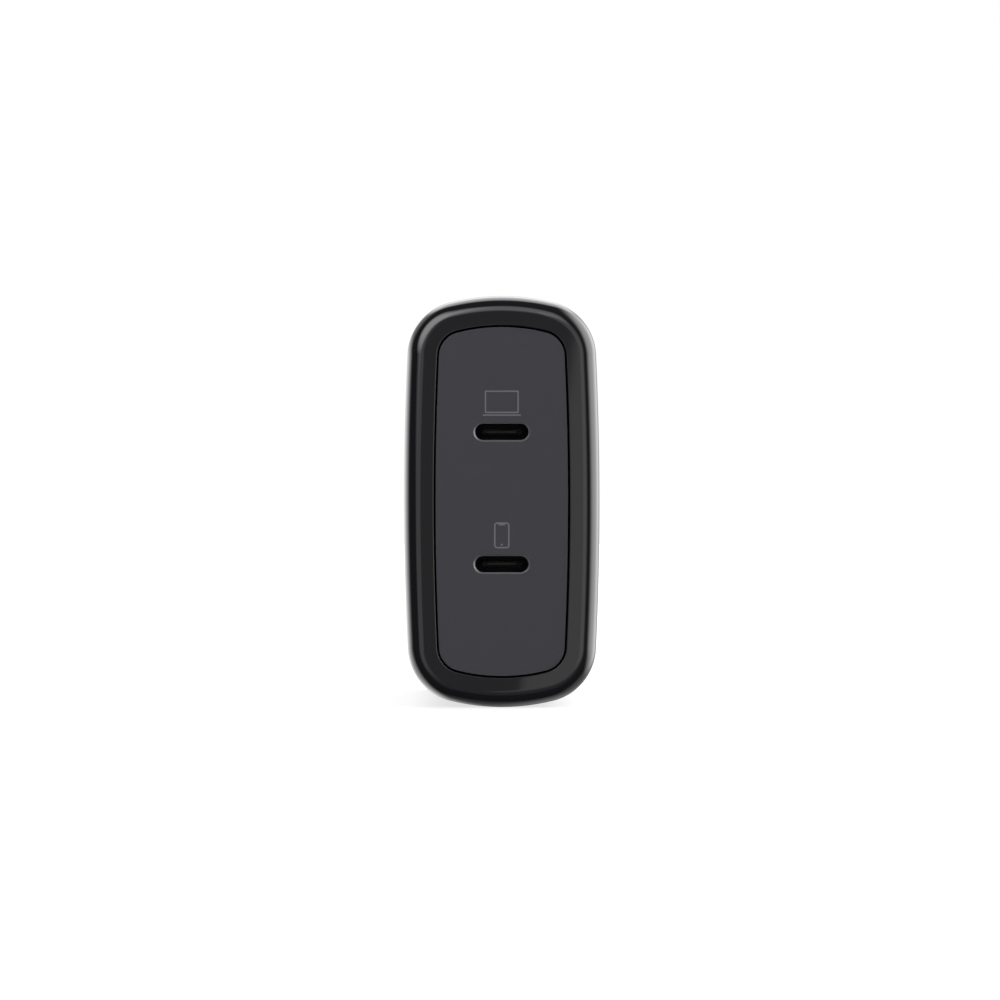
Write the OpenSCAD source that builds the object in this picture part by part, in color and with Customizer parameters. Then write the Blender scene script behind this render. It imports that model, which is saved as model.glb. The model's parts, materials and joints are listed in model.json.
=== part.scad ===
// Two-port USB-C wall charger with a fold-away plug, as the pieces that it is assembled from.
//
// Frame: +Z runs up the long side, +Y points at the wall outlet, and the two ports face -Y.
// The origin is the centre of the flat rear face, which lies against the outlet.
// Sizes are in millimetres. The plug is drawn folded away, and turns +90 degrees about +X to open.

/* [Body] */
// Width across the narrow front
body_w = 31.7; // [31.3:0.1:33]
// Height along the long side
body_h = 66.6; // [66:0.1:70]
// Depth from the front face to the rear face
body_d = 64; // [63:0.5:72]
// Radius of the faintly bowed long sides
side_r = 503; // [400:1:700]
// Radius of the bowed top and bottom
top_r = 34.7; // [34.3:0.1:45]
// Radius of the four corners
corner_r = 9.1; // [8.8:0.1:9.6]
// Radius of the rounded front and rear edges
edge_r = 2.7; // [1.5:0.1:3]
// Thickness of the shell's walls
wall = 2.2; // [1.9:0.1:2.2]

/* [Front panel] */
// Distance from the body's outline to the edge of the bezel's opening
bezel_w = 4.82; // [4.4:0.01:5.2]
// Width of the gap round the panel
panel_gap = 0.3; // [0.15:0.05:0.5]
// Thickness of the panel
panel_t = 1.2; // [1:0.1:1.3]
// How far the panel lies below the bezel
panel_recess = 0.15; // [0:0.05:0.3]

/* [Ports] */
// Height of the upper port's centre above the middle of the body
upper_port_z = 11.25; // [9:0.05:13]
// Height of the lower port's centre above the middle of the body
lower_port_z = -10.1; // [-13:0.05:-8]
// Width of the cutout in the panel
cutout_w = 8.64; // [8.5:0.02:8.8]
// Height of the cutout in the panel
cutout_h = 2.6; // [2.56:0.02:2.8]
// Chamfer round the cutout
cutout_chamfer = 0.25; // [0.1:0.05:0.4]

/* [Icons] */
// Width of the drawn lines
icon_line = 0.24; // [0.2:0.02:0.4]
// Height of the laptop icon's centre above the upper port
laptop_rise = 4.65; // [4:0.05:6]
// Height of the phone icon's centre above the lower port
phone_rise = 4.65; // [4:0.05:6]

/* [Plug] */
// Distance between the centres of the two blades
blade_pitch = 12.7; // [12.6:0.1:12.8]
// Thickness of a blade
blade_t = 1.5; // [1.4:0.02:1.6]
// Width of a blade
blade_w = 6.35; // [6.1:0.05:6.35]
// Length of a blade beyond the rear face when it is open
blade_reach = 16.5; // [15.9:0.1:17.5]
// Height of the plug's pivot above the middle of the body
pivot_z = 8.5; // [7.5:0.1:9]
// Depth of the plug's pivot below the rear face
pivot_depth = 3.8; // [3.8:0.05:4]

/* [Hidden] */
$fn = 64;

// Body
front_y = -body_d;
half_w = body_w / 2;
half_h = body_h / 2;
edge_steps = 8;
thin = 0.01;
lip_t = 2.7;
ledge_w = 1.5;
adhesive_t = 0.15;
cover_t = 2.4;
seam_y = -edge_r - 0.7;
seam_gap = 0.2;
cover_lip = 1.3;
cover_lip_y = -6.2;
fit_gap = 0.05;
overlap = 1;

// The outline is drawn with three arcs a quarter: side, corner and top. An inset outline is
// parallel, so it keeps the arcs' centres and shortens their radii.
side_c = [half_w - side_r, 0];
top_c = [0, half_h - top_r];
side_to_corner = side_r - corner_r;
top_to_corner = top_r - corner_r;
side_to_top = norm(top_c - side_c);
towards_top = (top_c - side_c) / side_to_top;
along = (pow(side_to_corner, 2) - pow(top_to_corner, 2) + pow(side_to_top, 2)) / (2 * side_to_top);
across = sqrt(pow(side_to_corner, 2) - pow(along, 2));
corner_c = side_c + along * towards_top + across * [-towards_top.y, towards_top.x];
side_end = atan2(corner_c.y - side_c.y, corner_c.x - side_c.x);
top_start = atan2(corner_c.y - top_c.y, corner_c.x - top_c.x);

// Ports
panel_y = front_y + panel_recess;
panel_back_y = panel_y + panel_t;
mouth_y = panel_back_y + adhesive_t;
port_board_y = front_y + 10;
port_board_t = 1;
receptacle_w = 8.34;
receptacle_h = 2.56;
receptacle_t = 0.3;
tongue_w = 6.69;
tongue_t = 0.7;
tongue_setback = 0.6;
contact_pitch = 0.5;
contact_rows = 12;
contact_t = 0.02;
icon_t = 0.03;

// Plug
carrier_r = 3.5;
carrier_half = 9.4;
stub_r = 1.3;
stub_end = 11.3;
bearing_clearance = 0.05;
turning_gap = 0.3;
blade_gap = 0.25;
blade_tip = blade_reach + pivot_depth;
blade_root = 1.2;
tail_end = 5.6;
tail_w = 2.4;
plug_box_half = 12;
plug_box_low = pivot_z - 5.3;
plug_box_high = pivot_z + 6.9;
well_end = pivot_z - blade_tip - 1.6;
well_floor = pivot_depth + blade_w / 2 + 0.3;
retainer_floor = 9;
screw_z = [pivot_z - 7.7, pivot_z + 9.3];
ear_y = [-6.4, -4.8];
scoop_r = 9;
scoop_depth = 1.8;
scoop_z = pivot_z - blade_tip + 2.6;

// Main board and what stands on it
board_x = -11.6;
board_t = 1.6;
board_face_x = board_x + board_t;
board_half_h = 26.5;
board_rear_y = -12;
board_front_y = front_y + 4;
parts_front_y = port_board_y + port_board_t;

// Colours
black_plastic = "#232327";
panel_grey = "#3f3e43";
ink_grey = "#69686c";
nickel = "#c9c8c4";
steel = "#8f9296";
gold = "#d8b45a";
copper = "#b5763d";
board_green = "#1f5a38";
ferrite = "#3a3b3e";
chip_black = "#1b1b1d";

function arc(centre, r, from, to, steps) = [
    for (i = [0 : steps - 1])
        let (a = from + (to - from) * i / steps)
            centre + r * [cos(a), sin(a)]
];

function outline(inset) =
    let (s = side_r - inset, t = top_r - inset, c = corner_r - inset)
    let (x = corner_c.x, z = corner_c.y)
    concat(
        arc(side_c, s, -side_end, side_end, 6),
        arc([x, z], c, side_end, top_start, 12),
        arc(top_c, t, top_start, 180 - top_start, 8),
        arc([-x, z], c, 180 - top_start, 180 - side_end, 12),
        arc(-side_c, s, 180 - side_end, 180 + side_end, 6),
        arc([-x, -z], c, 180 + side_end, 180 + top_start, 12),
        arc(-top_c, t, 180 + top_start, 360 - top_start, 8),
        arc([x, -z], c, 360 - top_start, 360 - side_end, 12)
    );

// A flat shape drawn in X and Z, given thickness from one Y to another
module slab(y_from, y_to) {
    translate([0, y_to, 0])
        rotate([90, 0, 0])
            linear_extrude(y_to - y_from) children();
}

// A flat shape drawn in Y and Z, given thickness from one X to another
module sheet(x_from, x_to) {
    translate([x_from, 0, 0])
        rotate([90, 0, 90])
            linear_extrude(x_to - x_from) children();
}

// A cylinder along X, centred on a point of the Y-Z plane
module x_cylinder(r, x_from, x_to, y, z) {
    translate([x_from, y, z])
        rotate([0, 90, 0])
            cylinder(r = r, h = x_to - x_from);
}

// A cylinder along Y, centred on a point of the X-Z plane
module y_cylinder(r, y_from, y_to, x, z) {
    translate([x, y_to, z])
        rotate([90, 0, 0])
            cylinder(r = r, h = y_to - y_from);
}

// A box from its low corner to its high corner
module box(low, high) {
    translate(low) cube(high - low);
}

// A part's place on the main board: its own +Z stands off the board along the body's +X
module on_board(y, z) {
    translate([board_face_x, y, z])
        rotate([0, 90, 0]) children();
}

module rounded_rectangle(w, h, r) {
    square([w, h - 2 * r], center = true);
    square([w - 2 * r, h], center = true);
    for (x = [-1, 1], y = [-1, 1])
        translate([x * (w / 2 - r), y * (h / 2 - r)]) circle(r);
}

module stadium(w, h) {
    square([w - h, h], center = true);
    for (x = [-1, 1])
        translate([x * (w - h) / 2, 0]) circle(h / 2);
}

// The body's solid with one edge rounded, from the flat end_y to the seam
module rounded_end(end_y, other_y) {
    inward = sign(other_y - end_y);
    tangent_y = end_y + inward * edge_r;
    hull() {
        slab(min(tangent_y, other_y), max(tangent_y, other_y)) polygon(outline(0));
        for (i = [1 : edge_steps]) {
            a = 90 * i / edge_steps;
            y = end_y + inward * edge_r * (1 - sin(a));
            slab(min(y, y + inward * thin), max(y, y + inward * thin))
                polygon(outline(edge_r * (1 - cos(a))));
        }
    }
}

// ---- Casing

// Deep sleeve moulded in one piece with the glossy bezel, open at the rear
module housing_shell() {
    color(black_plastic)
        difference() {
            rounded_end(front_y, seam_y - seam_gap);
            slab(front_y + lip_t, overlap) polygon(outline(wall));
            slab(front_y - overlap, mouth_y) polygon(outline(bezel_w));
            slab(front_y, front_y + lip_t + overlap) polygon(outline(bezel_w + ledge_w));
        }
}

// Straight part of a port's hole, and the chamfer at its mouth
module port_cut(z) {
    straight = cutout_w - cutout_h;
    r = cutout_h / 2;
    wide = r + cutout_chamfer;
    translate([0, 0, z]) {
        slab(panel_y - overlap, panel_back_y + overlap) stadium(cutout_w, cutout_h);
        sheet(-straight / 2, straight / 2)
            polygon([[panel_y, -wide], [panel_y, wide], [panel_y + cutout_chamfer, r],
                     [panel_y + cutout_chamfer, -r]]);
        for (x = [-1, 1])
            translate([x * straight / 2, panel_y + cutout_chamfer, 0])
                rotate([90, 0, 0])
                    cylinder(r1 = r, r2 = wide, h = cutout_chamfer);
    }
}

module front_panel() {
    color(panel_grey)
        difference() {
            slab(panel_y, panel_back_y) polygon(outline(bezel_w + panel_gap));
            port_cut(upper_port_z);
            port_cut(lower_port_z);
        }
}

// Ring of tape that holds the panel on the shell's ledge
module panel_adhesive() {
    color("#e8e6df")
        difference() {
            slab(panel_back_y, mouth_y) polygon(outline(bezel_w + panel_gap + 0.1));
            slab(panel_back_y - overlap, mouth_y + overlap) polygon(outline(bezel_w + ledge_w));
        }
}

module icon_frame(w, h, r) {
    difference() {
        rounded_rectangle(w, h, r);
        rounded_rectangle(w - 2 * icon_line, h - 2 * icon_line, max(r - icon_line, 0.02));
    }
}

// Printed picture of an open laptop: a screen over a base line
module laptop_icon() {
    screen_w = 5.5;
    screen_h = 3.65;
    screen_lift = 0.2;
    base_w = 6.15;
    base_drop = screen_h / 2 + 0.32 - screen_lift;
    color(ink_grey)
        translate([0, 0, upper_port_z + laptop_rise])
            slab(panel_y - icon_t, panel_y) {
                translate([0, screen_lift]) icon_frame(screen_w, screen_h, icon_line / 2 + 0.02);
                translate([0, -base_drop]) square([base_w, icon_line], center = true);
            }
}

// Printed picture of a phone: a rounded frame with an earpiece and a button
module phone_icon() {
    frame_w = 2.5;
    frame_h = 4.2;
    earpiece_w = 1.05;
    button_r = 0.17;
    button_rise = 0.6;
    color(ink_grey)
        translate([0, 0, lower_port_z + phone_rise])
            slab(panel_y - icon_t, panel_y) {
                icon_frame(frame_w, frame_h, 0.5);
                translate([0, frame_h / 2 - 1.5 * icon_line])
                    square([earpiece_w, icon_line + thin], center = true);
                translate([0, button_rise - frame_h / 2]) circle(button_r);
            }
}

// ---- Rear cover and plug

// Room that the two contact tails need while the plug turns
module tail_room() {
    for (side = [-1, 1]) {
        x = side * blade_pitch / 2;
        intersection() {
            x_cylinder(tail_end + turning_gap, x - blade_t / 2 - blade_gap,
                       x + blade_t / 2 + blade_gap, -pivot_depth, pivot_z);
            box([-half_w, -20, pivot_z - tail_w], [half_w, -cover_t - fit_gap, pivot_z + 10]);
        }
    }
}

// Room for the folded blades, open through the rear face
module blade_room() {
    for (side = [-1, 1]) {
        x = side * blade_pitch / 2;
        box([x - blade_t / 2 - blade_gap, -well_floor, pivot_z - blade_tip - 0.4],
            [x + blade_t / 2 + blade_gap, overlap, pivot_z]);
    }
}

// Round room for the carrier, open through the rear face
module carrier_room() {
    r = carrier_r + turning_gap;
    half = carrier_half + 0.2;
    x_cylinder(r, -half, half, -pivot_depth, pivot_z);
    box([-half, -pivot_depth, pivot_z - r], [half, overlap, pivot_z + r]);
}

module stub_bores() {
    for (side = [-1, 1])
        x_cylinder(stub_r + bearing_clearance, side > 0 ? carrier_half : -stub_end - 0.2,
                   side > 0 ? stub_end + 0.2 : -carrier_half, -pivot_depth, pivot_z);
}

// Rear plate with a rounded edge, a lip that plugs into the shell, two wells for the folded
// blades, a finger scoop across their tips, a half bearing at each end of the carrier, and
// bosses for the retainer's screws
module rear_cover() {
    half_well = blade_t / 2 + blade_gap + 1.2;
    color(black_plastic)
        difference() {
            union() {
                difference() {
                    rounded_end(0, seam_y);
                    slab(seam_y - overlap, -cover_t) polygon(outline(wall + cover_lip));
                }
                difference() {
                    slab(cover_lip_y, seam_y + overlap / 2) polygon(outline(wall + fit_gap));
                    slab(cover_lip_y - overlap, -cover_t) polygon(outline(wall + cover_lip));
                }
                box([-plug_box_half, -pivot_depth, plug_box_low], [plug_box_half, -cover_t, plug_box_high]);
                for (side = [-1, 1])
                    box([side * blade_pitch / 2 - half_well, -well_floor - 1.2, well_end],
                        [side * blade_pitch / 2 + half_well, -cover_t, plug_box_low - 0.1]);
                for (z = screw_z)
                    y_cylinder(2.3, ear_y[1], -cover_t, 0, z);
            }
            carrier_room();
            blade_room();
            tail_room();
            stub_bores();
            for (z = screw_z)
                y_cylinder(1, ear_y[1] - overlap, -1.5, 0, z);
            x_cylinder(scoop_r, -carrier_half - 0.2, carrier_half + 0.2, scoop_r - scoop_depth, scoop_z);
        }
}

// Flat blade with a tapered tip and a hole near it, and a narrow tail that meets the contact
module blade(side) {
    x = side * blade_pitch / 2;
    taper = 1.3;
    hole_from_tip = 5.1;
    color(nickel)
        difference() {
            translate([0, -pivot_depth, pivot_z])
                sheet(x - blade_t / 2, x + blade_t / 2) {
                    polygon([
                        [-blade_w / 2, blade_root], [-blade_w / 2, 2 * taper - blade_tip],
                        [taper - blade_w / 2, -blade_tip], [blade_w / 2 - taper, -blade_tip],
                        [blade_w / 2, 2 * taper - blade_tip], [blade_w / 2, blade_root]
                    ]);
                    translate([-tail_w / 2, 0]) square([tail_w, tail_end]);
                }
            x_cylinder(1.6, x - blade_t, x + blade_t, -pivot_depth, pivot_z - blade_tip + hole_from_tip);
        }
}

module blade_left() {
    blade(-1);
}

module blade_right() {
    blade(1);
}

// Insulating bar, moulded round the roots of both blades, that turns in the rear cover
module blade_carrier() {
    color(black_plastic)
        difference() {
            union() {
                x_cylinder(carrier_r, -carrier_half, carrier_half, -pivot_depth, pivot_z);
                x_cylinder(stub_r, -stub_end, stub_end, -pivot_depth, pivot_z);
            }
            blade_left();
            blade_right();
        }
}

// Inner half of the carrier's bearings, screwed to the rear cover
module carrier_retainer() {
    color("#2b2b30")
        difference() {
            union() {
                box([-plug_box_half, -retainer_floor, plug_box_low],
                    [plug_box_half, -pivot_depth - thin, plug_box_high]);
                box([-2.9, ear_y[0], screw_z[0] - 2], [2.9, ear_y[1], screw_z[1] + 2]);
            }
            carrier_room();
            blade_room();
            tail_room();
            stub_bores();
            for (z = screw_z)
                y_cylinder(1.15, ear_y[0] - overlap, ear_y[1] + overlap, 0, z);
            box([-2.8, 0.5 - retainer_floor, pivot_z - 3.4], [2.8, -pivot_depth, pivot_z + 3.4]);
        }
}

// Two pan-head screws with a cross recess
module retainer_screws() {
    head_y = ear_y[0] - 1.2;
    color(steel)
        for (z = screw_z)
            difference() {
                union() {
                    y_cylinder(1.9, head_y, ear_y[0], 0, z);
                    y_cylinder(0.95, ear_y[0] - thin, -2, 0, z);
                }
                for (turn = [0, 90])
                    translate([0, head_y, z])
                        rotate([0, turn, 0]) cube([2.2, 1.2, 0.45], center = true);
            }
}

// Bowed leaf under the carrier that holds the plug open or shut
module detent_spring() {
    t = 0.3;
    low = 0.6 - retainer_floor;
    top = -pivot_depth - carrier_r - 0.2;
    color(steel)
        translate([0, 0, pivot_z])
            sheet(-2.4, 2.4)
                polygon([
                    [low, -3.2], [low + t, -3.2], [top, -0.5], [top, 0.5], [low + t, 3.2],
                    [low, 3.2], [top - t, 0.6], [top - t, -0.6]
                ]);
}

// Spring strip that a blade's tail meets when the plug is open, with a tab for its lead
module contact_spring(side) {
    x = side * blade_pitch / 2;
    t = 0.4;
    foot = -retainer_floor;
    run = -pivot_depth - norm([tail_end, tail_w / 2]) - 0.2;
    tab_y = foot - 4;
    color(copper)
        translate([0, 0, pivot_z])
            sheet(x - 1.4, x + 1.4)
                polygon([
                    [foot, 6.6], [foot - t, 6.6], [foot - t, 4.4], [run - t, 3.5],
                    [run - t, -2.9], [tab_y, -2.9], [tab_y, -3.3], [run, -3.3],
                    [run, 3.3], [foot, 4.2]
                ]);
}

module contact_spring_left() {
    contact_spring(-1);
}

module contact_spring_right() {
    contact_spring(1);
}

// Round wire along a level cubic curve: leaves the first point along -Y, meets the last along -X
module lead(start, finish, bow) {
    r = 0.75;
    steps = 14;
    sides = 8;
    p1 = start - [0, bow, 0];
    p2 = finish + [bow, 0, 0];
    function at(t) =
        pow(1 - t, 3) * start + 3 * t * pow(1 - t, 2) * p1
        + 3 * t * t * (1 - t) * p2 + pow(t, 3) * finish;
    function heading(t) =
        let (d = pow(1 - t, 2) * (p1 - start) + 2 * t * (1 - t) * (p2 - p1)
                 + t * t * (finish - p2))
        d / norm(d);
    rings = [
        for (i = [0 : steps], k = [0 : sides - 1])
            let (h = heading(i / steps), a = 360 * k / sides)
            at(i / steps) + r * (cos(a) * [-h.y, h.x, 0] + sin(a) * [0, 0, 1])
    ];
    walls = [
        for (i = [0 : steps - 1], k = [0 : sides - 1])
            let (next = (k + 1) % sides, here = i * sides, on = here + sides)
            [here + k, here + next, on + next, on + k]
    ];
    ends = [
        [for (k = [sides - 1 : -1 : 0]) k],
        [for (k = [0 : sides - 1]) steps * sides + k]
    ];
    polyhedron(rings, concat(walls, ends), convexity = 4);
}

module input_lead_left() {
    color("#2f5f9e")
        lead([-blade_pitch / 2, -retainer_floor - 4.1, pivot_z - 3.1],
             [board_face_x, board_rear_y - 5, pivot_z - 3.1], 2);
}

module input_lead_right() {
    color("#7a4a2a")
        lead([blade_pitch / 2, -retainer_floor - 4.1, pivot_z - 3.1],
             [board_face_x, board_rear_y - 9, pivot_z - 3.1], 7);
}

// ---- Port board

module port_board() {
    color(board_green)
        intersection() {
            slab(port_board_y, port_board_y + port_board_t) polygon(outline(wall + 0.6));
            box([board_face_x + 0.2, front_y, -half_h], [half_w, 0, half_h]);
        }
}

// Drawn steel shell of one receptacle, with four legs that stand on the port board
module usb_c_shell(z) {
    rear = port_board_y - 1.2;
    outer_w = receptacle_w + 2 * receptacle_t;
    outer_h = receptacle_h + 2 * receptacle_t;
    color(steel)
        translate([0, 0, z]) {
            difference() {
                slab(mouth_y, rear) stadium(outer_w, outer_h);
                slab(mouth_y - overlap, rear + overlap) stadium(receptacle_w, receptacle_h);
            }
            for (x = [-1, 1], up = [-1, 1])
                box([x * 2.4 - 0.5, rear - overlap, up > 0 ? receptacle_h / 2 : -outer_h / 2],
                    [x * 2.4 + 0.5, port_board_y, up > 0 ? outer_h / 2 : -receptacle_h / 2]);
        }
}

// Insulator of one receptacle: the thin tongue and the block that closes the shell's rear
module usb_c_tongue(z) {
    block_y = port_board_y - 3;
    color(chip_black)
        translate([0, 0, z]) {
            slab(mouth_y + tongue_setback, block_y + thin) square([tongue_w, tongue_t], center = true);
            slab(block_y, port_board_y)
                stadium(receptacle_w - 2 * fit_gap, receptacle_h - 2 * fit_gap);
        }
}

// Twelve contacts on each face of one tongue
module usb_c_contacts(z) {
    first = -contact_pitch * (contact_rows - 1) / 2;
    start = mouth_y + tongue_setback + 0.4;
    color(gold)
        for (i = [0 : contact_rows - 1], up = [-1, 1])
            translate([first + i * contact_pitch, 0, z + up * (tongue_t + contact_t) / 2])
                box([-0.125, start, -contact_t / 2], [0.125, start + 3.6, contact_t / 2]);
}

module usb_c_shell_upper() {
    usb_c_shell(upper_port_z);
}

module usb_c_shell_lower() {
    usb_c_shell(lower_port_z);
}

module usb_c_tongue_upper() {
    usb_c_tongue(upper_port_z);
}

module usb_c_tongue_lower() {
    usb_c_tongue(lower_port_z);
}

module usb_c_contacts_upper() {
    usb_c_contacts(upper_port_z);
}

module usb_c_contacts_lower() {
    usb_c_contacts(lower_port_z);
}

// One protocol chip behind each receptacle
module port_controllers() {
    color(chip_black)
        for (z = [upper_port_z, lower_port_z])
            box([3.5, parts_front_y, z - 2], [7.5, parts_front_y + 0.85, z + 2]);
}

header_t = 2.4;
pin_pitch = 2.54;
pin_row = [-3.5 : 3.5];

// Insulated strip that carries the pins between the two boards
module board_header() {
    half = 4 * pin_pitch;
    color(chip_black)
        box([board_face_x, parts_front_y, -half],
            [board_face_x + header_t, parts_front_y + header_t, half]);
}

// Ends of the pins, which stand out of the header
module header_pins() {
    half = 0.3;
    low = parts_front_y + header_t;
    color(gold)
        for (i = pin_row)
            translate([board_face_x + header_t / 2, 0, pin_pitch * i])
                box([-half, low, -half], [half, low + 0.5, half]);
}

// ---- Main board

module main_board() {
    color(board_green)
        box([board_x, board_front_y, -board_half_h], [board_face_x, board_rear_y, board_half_h]);
}

transformer_y = parts_front_y + 13.4;
transformer_z = 2;
transformer_x = board_face_x + 10;
core_w = 21;
core_half_z = 11.5;
core_depth = 12;
core_leg = 3;
core_post = 6;
core_back = 4;
winding_half = core_half_z - core_back - 0.3;

// One half of an E-shaped ferrite core: a back, two legs and a centre post
module core_half(up) {
    color(ferrite)
        translate([transformer_x, transformer_y, transformer_z])
            scale([1, 1, up])
                difference() {
                    box([-core_depth / 2, -core_w / 2, 0.02], [core_depth / 2, core_w / 2, core_half_z]);
                    for (side = [-1, 1])
                        translate([0, side * (core_w / 2 - core_leg + core_post / 2) / 2, 0])
                            box([-core_depth, -(core_w / 2 - core_leg - core_post / 2) / 2, -overlap],
                                [core_depth, (core_w / 2 - core_leg - core_post / 2) / 2,
                                 core_half_z - core_back]);
                }
}

module transformer_core_upper() {
    core_half(1);
}

module transformer_core_lower() {
    core_half(-1);
}

// A rectangular ring round the core's post, between two sizes
module coil_ring(inner_x, inner_y, t, r, half) {
    translate([transformer_x, transformer_y, transformer_z - half])
        linear_extrude(2 * half)
            difference() {
                rounded_rectangle(2 * (inner_x + t), 2 * (inner_y + t), r + t);
                rounded_rectangle(2 * inner_x, 2 * inner_y, r);
            }
}

bobbin_x = core_depth / 2 + fit_gap;
bobbin_y = core_post / 2 + fit_gap;
bobbin_t = 0.8;
bobbin_r = 0.1;
winding_t = 2.6;
tape_t = 0.15;

module transformer_bobbin() {
    color("#33343a") coil_ring(bobbin_x, bobbin_y, bobbin_t, bobbin_r, winding_half);
}

module transformer_winding() {
    color(copper)
        coil_ring(bobbin_x + bobbin_t, bobbin_y + bobbin_t, winding_t, bobbin_r + bobbin_t,
                  winding_half - 0.3);
}

module transformer_tape() {
    inner = bobbin_t + winding_t;
    color("#d9b62f")
        coil_ring(bobbin_x + inner, bobbin_y + inner, tape_t, bobbin_r + inner, winding_half - 0.1);
}

bulk_r = 6.2;
bulk_z = 21.2;
bulk_y = [for (i = [0 : 2]) parts_front_y + 8 + i * 13];

// Three electrolytic cans that stand on the board, each with a rolled groove near its seal
module bulk_capacitors() {
    color("#2c2f3a")
        for (y = bulk_y)
            on_board(y, bulk_z)
                difference() {
                    translate([0, 0, 1.2]) cylinder(r = bulk_r, h = 19.8);
                    translate([0, 0, 2.6])
                        rotate_extrude() translate([bulk_r, 0]) circle(0.4, $fn = 24);
                    translate([0, 0, 20.8])
                        for (turn = [0, 60, 120])
                            rotate([0, 0, turn]) cube([7, 0.3, 0.5], center = true);
                }
}

// Rubber seals that close the cans, seated on the board
module capacitor_seals() {
    color("#1a1a1a")
        for (y = bulk_y)
            on_board(y, bulk_z) cylinder(r = bulk_r - 0.8, h = 1.2);
}

// Two low-resistance polymer cans that smooth the output
module output_capacitors() {
    color("#b9bcc2")
        for (y = [-25.6, -16.9])
            on_board(y, -21)
                difference() {
                    cylinder(r = 4, h = 11.5);
                    translate([0, 0, 1.6])
                        rotate_extrude() translate([4, 0]) circle(0.3, $fn = 24);
                }
}

// One moulded inductor for each port's converter
module buck_inductors() {
    color("#4a4c50")
        for (y = [parts_front_y + 6.8, parts_front_y + 17.8])
            on_board(y, -19.8) linear_extrude(5.4) rounded_rectangle(10, 10, 1.2);
}

choke_y = -20;
choke_z = -6.2;
choke_x = board_face_x + 8.6;
choke_core_r = [3.6, 6.6];
choke_half = 2.6;

// Mains-filter choke: a ring core whose axis runs along Y
module choke_core() {
    color(ferrite)
        difference() {
            y_cylinder(choke_core_r[1], choke_y - choke_half, choke_y + choke_half, choke_x, choke_z);
            y_cylinder(choke_core_r[0], choke_y - 10, choke_y + 10, choke_x, choke_z);
        }
}

// One coil of the choke, drawn as the closed band that its turns form round the ring
module choke_winding(side) {
    t = 0.9;
    slack = 0.05;
    spread = 64;
    color(copper)
        translate([choke_x, choke_y, choke_z])
            rotate([90, 0, 0])
                rotate([0, 0, side * 90 - spread])
                    rotate_extrude(angle = 2 * spread)
                        difference() {
                            translate([choke_core_r[0] - t, -choke_half - t])
                                square([choke_core_r[1] - choke_core_r[0] + 2 * t, 2 * (choke_half + t)]);
                            translate([choke_core_r[0] - slack, -choke_half - slack])
                                square([choke_core_r[1] - choke_core_r[0] + 2 * slack,
                                        2 * (choke_half + slack)]);
                        }
}

module choke_winding_left() {
    choke_winding(-1);
}

module choke_winding_right() {
    choke_winding(1);
}

// Yellow box capacitor across the mains
module x_capacitor() {
    color("#d3b13a")
        on_board(-21, 10.8) linear_extrude(12) rounded_rectangle(6, 12.6, 0.6);
}

// Blue disc capacitor across the isolation gap, standing on edge
module y_capacitor() {
    color("#2d66a8")
        y_cylinder(3.4, -27.9, -25.3, board_face_x + 4.2, -13);
}

module input_fuse() {
    color("#5b4636")
        on_board(-14, -5) linear_extrude(7.6) rounded_rectangle(8.4, 3.2, 0.6);
}

// Disc that limits the surge when the plug goes in
module inrush_thermistor() {
    color("#3e6b4a")
        y_cylinder(3.8, -27.9, -25.3, board_face_x + 4.8, -3.8);
}

module optocoupler() {
    color(chip_black)
        on_board(-40, -12.2) linear_extrude(2.2) square([3, 6.4], center = true);
}

// A flat package soldered to the far side of the board
module flat_package(y, z, size, t) {
    color(chip_black)
        box([board_x - t, y - size.x / 2, z - size.y / 2], [board_x, y + size.x / 2, z + size.y / 2]);
}

module bridge_rectifier() {
    flat_package(-20, 0, [8, 6.5], 1.2);
}

module power_switch() {
    flat_package(-33, 8, [8, 8], 0.85);
}

module synchronous_rectifier() {
    flat_package(-40, -8, [5, 6], 1);
}

module power_controller() {
    flat_package(-28, -4, [5, 4], 0.9);
}

// Soft pad between the transformer and the heat spreader
module thermal_pad() {
    low = transformer_x + bobbin_x + bobbin_t + winding_t + tape_t;
    pad_half_y = 4.2;
    pad_half_z = 6;
    color("#8fa3b5")
        box([low + thin, transformer_y - pad_half_y, transformer_z - pad_half_z],
            [half_w - wall - 1.3, transformer_y + pad_half_y, transformer_z + pad_half_z]);
}

// Aluminium sheet along the side wall
module heat_spreader() {
    outer = half_w - wall - 0.7;
    color("#aeb1b4")
        box([outer - 0.6, parts_front_y + 2, -18], [outer, -13, 18]);
}

// Clear film rolled round the boards inside the shell
module insulation_sleeve() {
    film = 0.2;
    color("#dfe3ea")
        difference() {
            slab(parts_front_y + 0.5, -11) polygon(outline(wall + 0.1));
            slab(parts_front_y - overlap, -11 + overlap) polygon(outline(wall + 0.1 + film));
        }
}

housing_shell();
front_panel();
panel_adhesive();
rear_cover();
laptop_icon();
phone_icon();
blade_carrier();
blade_left();
blade_right();
carrier_retainer();
retainer_screws();
detent_spring();
contact_spring_left();
contact_spring_right();
input_lead_left();
input_lead_right();
port_board();
usb_c_shell_upper();
usb_c_shell_lower();
usb_c_tongue_upper();
usb_c_tongue_lower();
usb_c_contacts_upper();
usb_c_contacts_lower();
port_controllers();
board_header();
header_pins();
main_board();
transformer_core_upper();
transformer_core_lower();
transformer_bobbin();
transformer_winding();
transformer_tape();
bulk_capacitors();
capacitor_seals();
output_capacitors();
buck_inductors();
choke_core();
choke_winding_left();
choke_winding_right();
x_capacitor();
y_capacitor();
input_fuse();
inrush_thermistor();
optocoupler();
bridge_rectifier();
power_switch();
synchronous_rectifier();
power_controller();
thermal_pad();
heat_spreader();
insulation_sleeve();
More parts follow.
